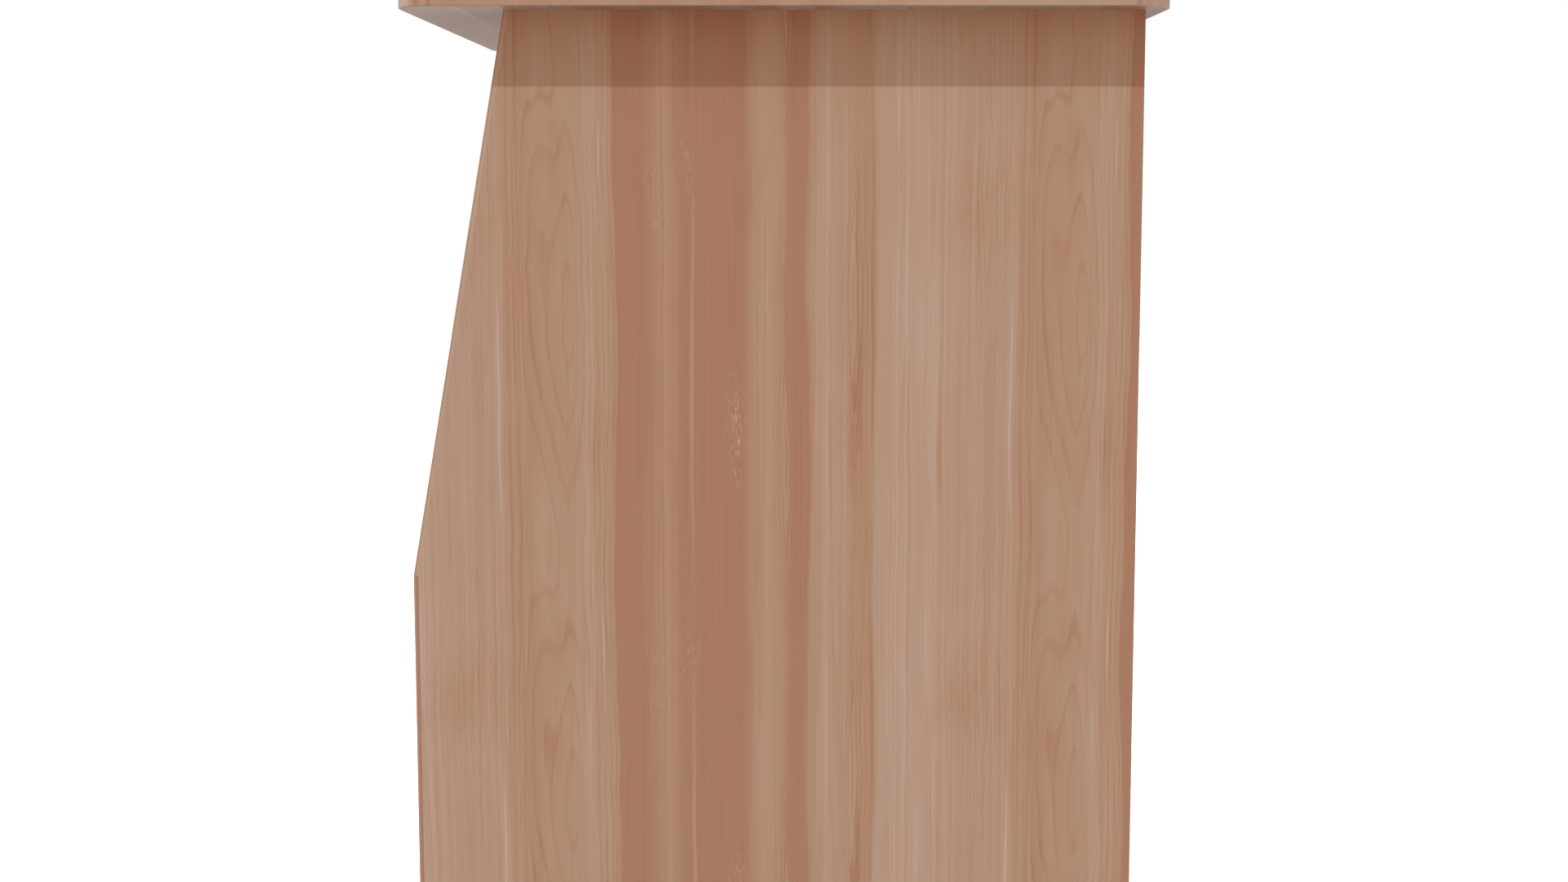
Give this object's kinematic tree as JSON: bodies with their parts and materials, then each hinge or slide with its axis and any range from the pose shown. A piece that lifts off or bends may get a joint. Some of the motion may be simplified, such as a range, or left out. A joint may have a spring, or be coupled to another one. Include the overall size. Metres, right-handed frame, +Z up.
{
  "type": "lectern podium",
  "caption": "Laminate-board lectern: slanted-front cabinet with door and shelves, overhanging desk top, and a sloping hinged reading board over a tray.",
  "frame": {"origin": "on the floor under the middle of the desk top", "axes": "+Z up; the audience is towards -Y and the speaker stands at +Y; +X is to the right seen from the audience"},
  "size_m": [0.62, 0.6, 1.1002],
  "materials": {
    "laminate": "semi-gloss cherry-coloured wood-grain laminate on board",
    "edge_band": "semi-gloss wood-grain edge banding",
    "lipping": "lacquered cherry-coloured solid wood",
    "plain_wood": "bare beech",
    "zinc_steel": "zinc-plated",
    "hinge_steel": "satin nickel",
    "cast_cam": "raw zinc casting",
    "bright_lock": "polished chrome",
    "satin_pull": "satin nickel",
    "dark_plastic": "moulded black",
    "rubber": "soft dark rubber"
  },
  "bodies": {
    "cabinet": {"adjustable_shelf": "laminate", "angle_brackets": "zinc_steel", "bottom_panel": "laminate", "cabinet_screws": "zinc_steel", "cam_bolts": "zinc_steel", "cam_locks": "cast_cam", "desk_top": "laminate", "desk_top_edge_band": "edge_band", "door_hinge_pins": "zinc_steel", "door_hinge_side_leaves": "hinge_steel", "fixed_shelf": "laminate", "fixed_strip": "laminate", "foot_blocks": "plain_wood", "foot_inserts": "zinc_steel", "front_lipping_lower_left": "lipping", "front_lipping_lower_right": "lipping", "front_lipping_upper_left": "lipping", "front_lipping_upper_right": "lipping", "front_panel_lower": "laminate", "front_panel_upper": "laminate", "lid_bumpers": "rubber", "lid_hinge_pins": "zinc_steel", "lid_hinge_strip_leaves": "hinge_steel", "lock_strike": "zinc_steel", "magnetic_catch": "dark_plastic", "rear_plinth": "laminate", "shelf_edge_bands": "edge_band", "shelf_pins": "zinc_steel", "side_panel_left": "laminate", "side_panel_right": "laminate", "side_rear_edge_bands": "edge_band", "top_rail": "laminate", "tray_cheek_left": "laminate", "tray_cheek_right": "laminate", "tray_front": "laminate", "tray_rail": "laminate", "wood_dowels": "plain_wood"},
    "door": {"door": "laminate", "door_edge_band": "edge_band", "flush_pull": "satin_pull", "lock_housing": "bright_lock", "lock_nut": "zinc_steel", "door_hinge_door_leaves": "hinge_steel", "door_screws": "zinc_steel", "catch_plate": "zinc_steel"},
    "reading_board": {"reading_board": "laminate", "reading_board_edge_band": "edge_band", "book_ledge": "lipping", "lid_hinge_board_leaves": "hinge_steel", "reading_board_screws": "zinc_steel"},
    "lock_plug": {"lock_plug": "bright_lock", "lock_cam": "zinc_steel"},
    "foot_front_right": {"foot_pad_front_right": "dark_plastic", "foot_stem_front_right": "zinc_steel"},
    "foot_front_left": {"foot_pad_front_left": "dark_plastic", "foot_stem_front_left": "zinc_steel"},
    "foot_rear_right": {"foot_pad_rear_right": "dark_plastic", "foot_stem_rear_right": "zinc_steel"},
    "foot_rear_left": {"foot_pad_rear_left": "dark_plastic", "foot_stem_rear_left": "zinc_steel"}
  },
  "joints": [
    {"name": "door_hinge", "type": "hinge", "parent": "cabinet", "child": "door", "pos_m": [-0.2505, 0.2855, 0.38], "axis": [0, 0, 1], "range_deg": [0, 180]},
    {"name": "lock_turn", "type": "hinge", "parent": "door", "child": "lock_plug", "pos_m": [0.215, 0.27, 0.52], "axis": [0, -1, 0], "range_deg": [0, 90]},
    {"name": "reading_board_hinge", "type": "hinge", "parent": "cabinet", "child": "reading_board", "pos_m": [0, -0.12915, 1.08665], "axis": [1, 0, 0], "range_deg": [0, 100]},
    {"name": "foot_front_right_travel", "type": "slide", "parent": "cabinet", "child": "foot_front_right", "axis": [0, 0, -1], "range_m": [0, 0.01]},
    {"name": "foot_front_left_travel", "type": "slide", "parent": "cabinet", "child": "foot_front_left", "axis": [0, 0, -1], "range_m": [0, 0.01]},
    {"name": "foot_rear_right_travel", "type": "slide", "parent": "cabinet", "child": "foot_rear_right", "axis": [0, 0, -1], "range_m": [0, 0.01]},
    {"name": "foot_rear_left_travel", "type": "slide", "parent": "cabinet", "child": "foot_rear_left", "axis": [0, 0, -1], "range_m": [0, 0.01]}
  ]
}
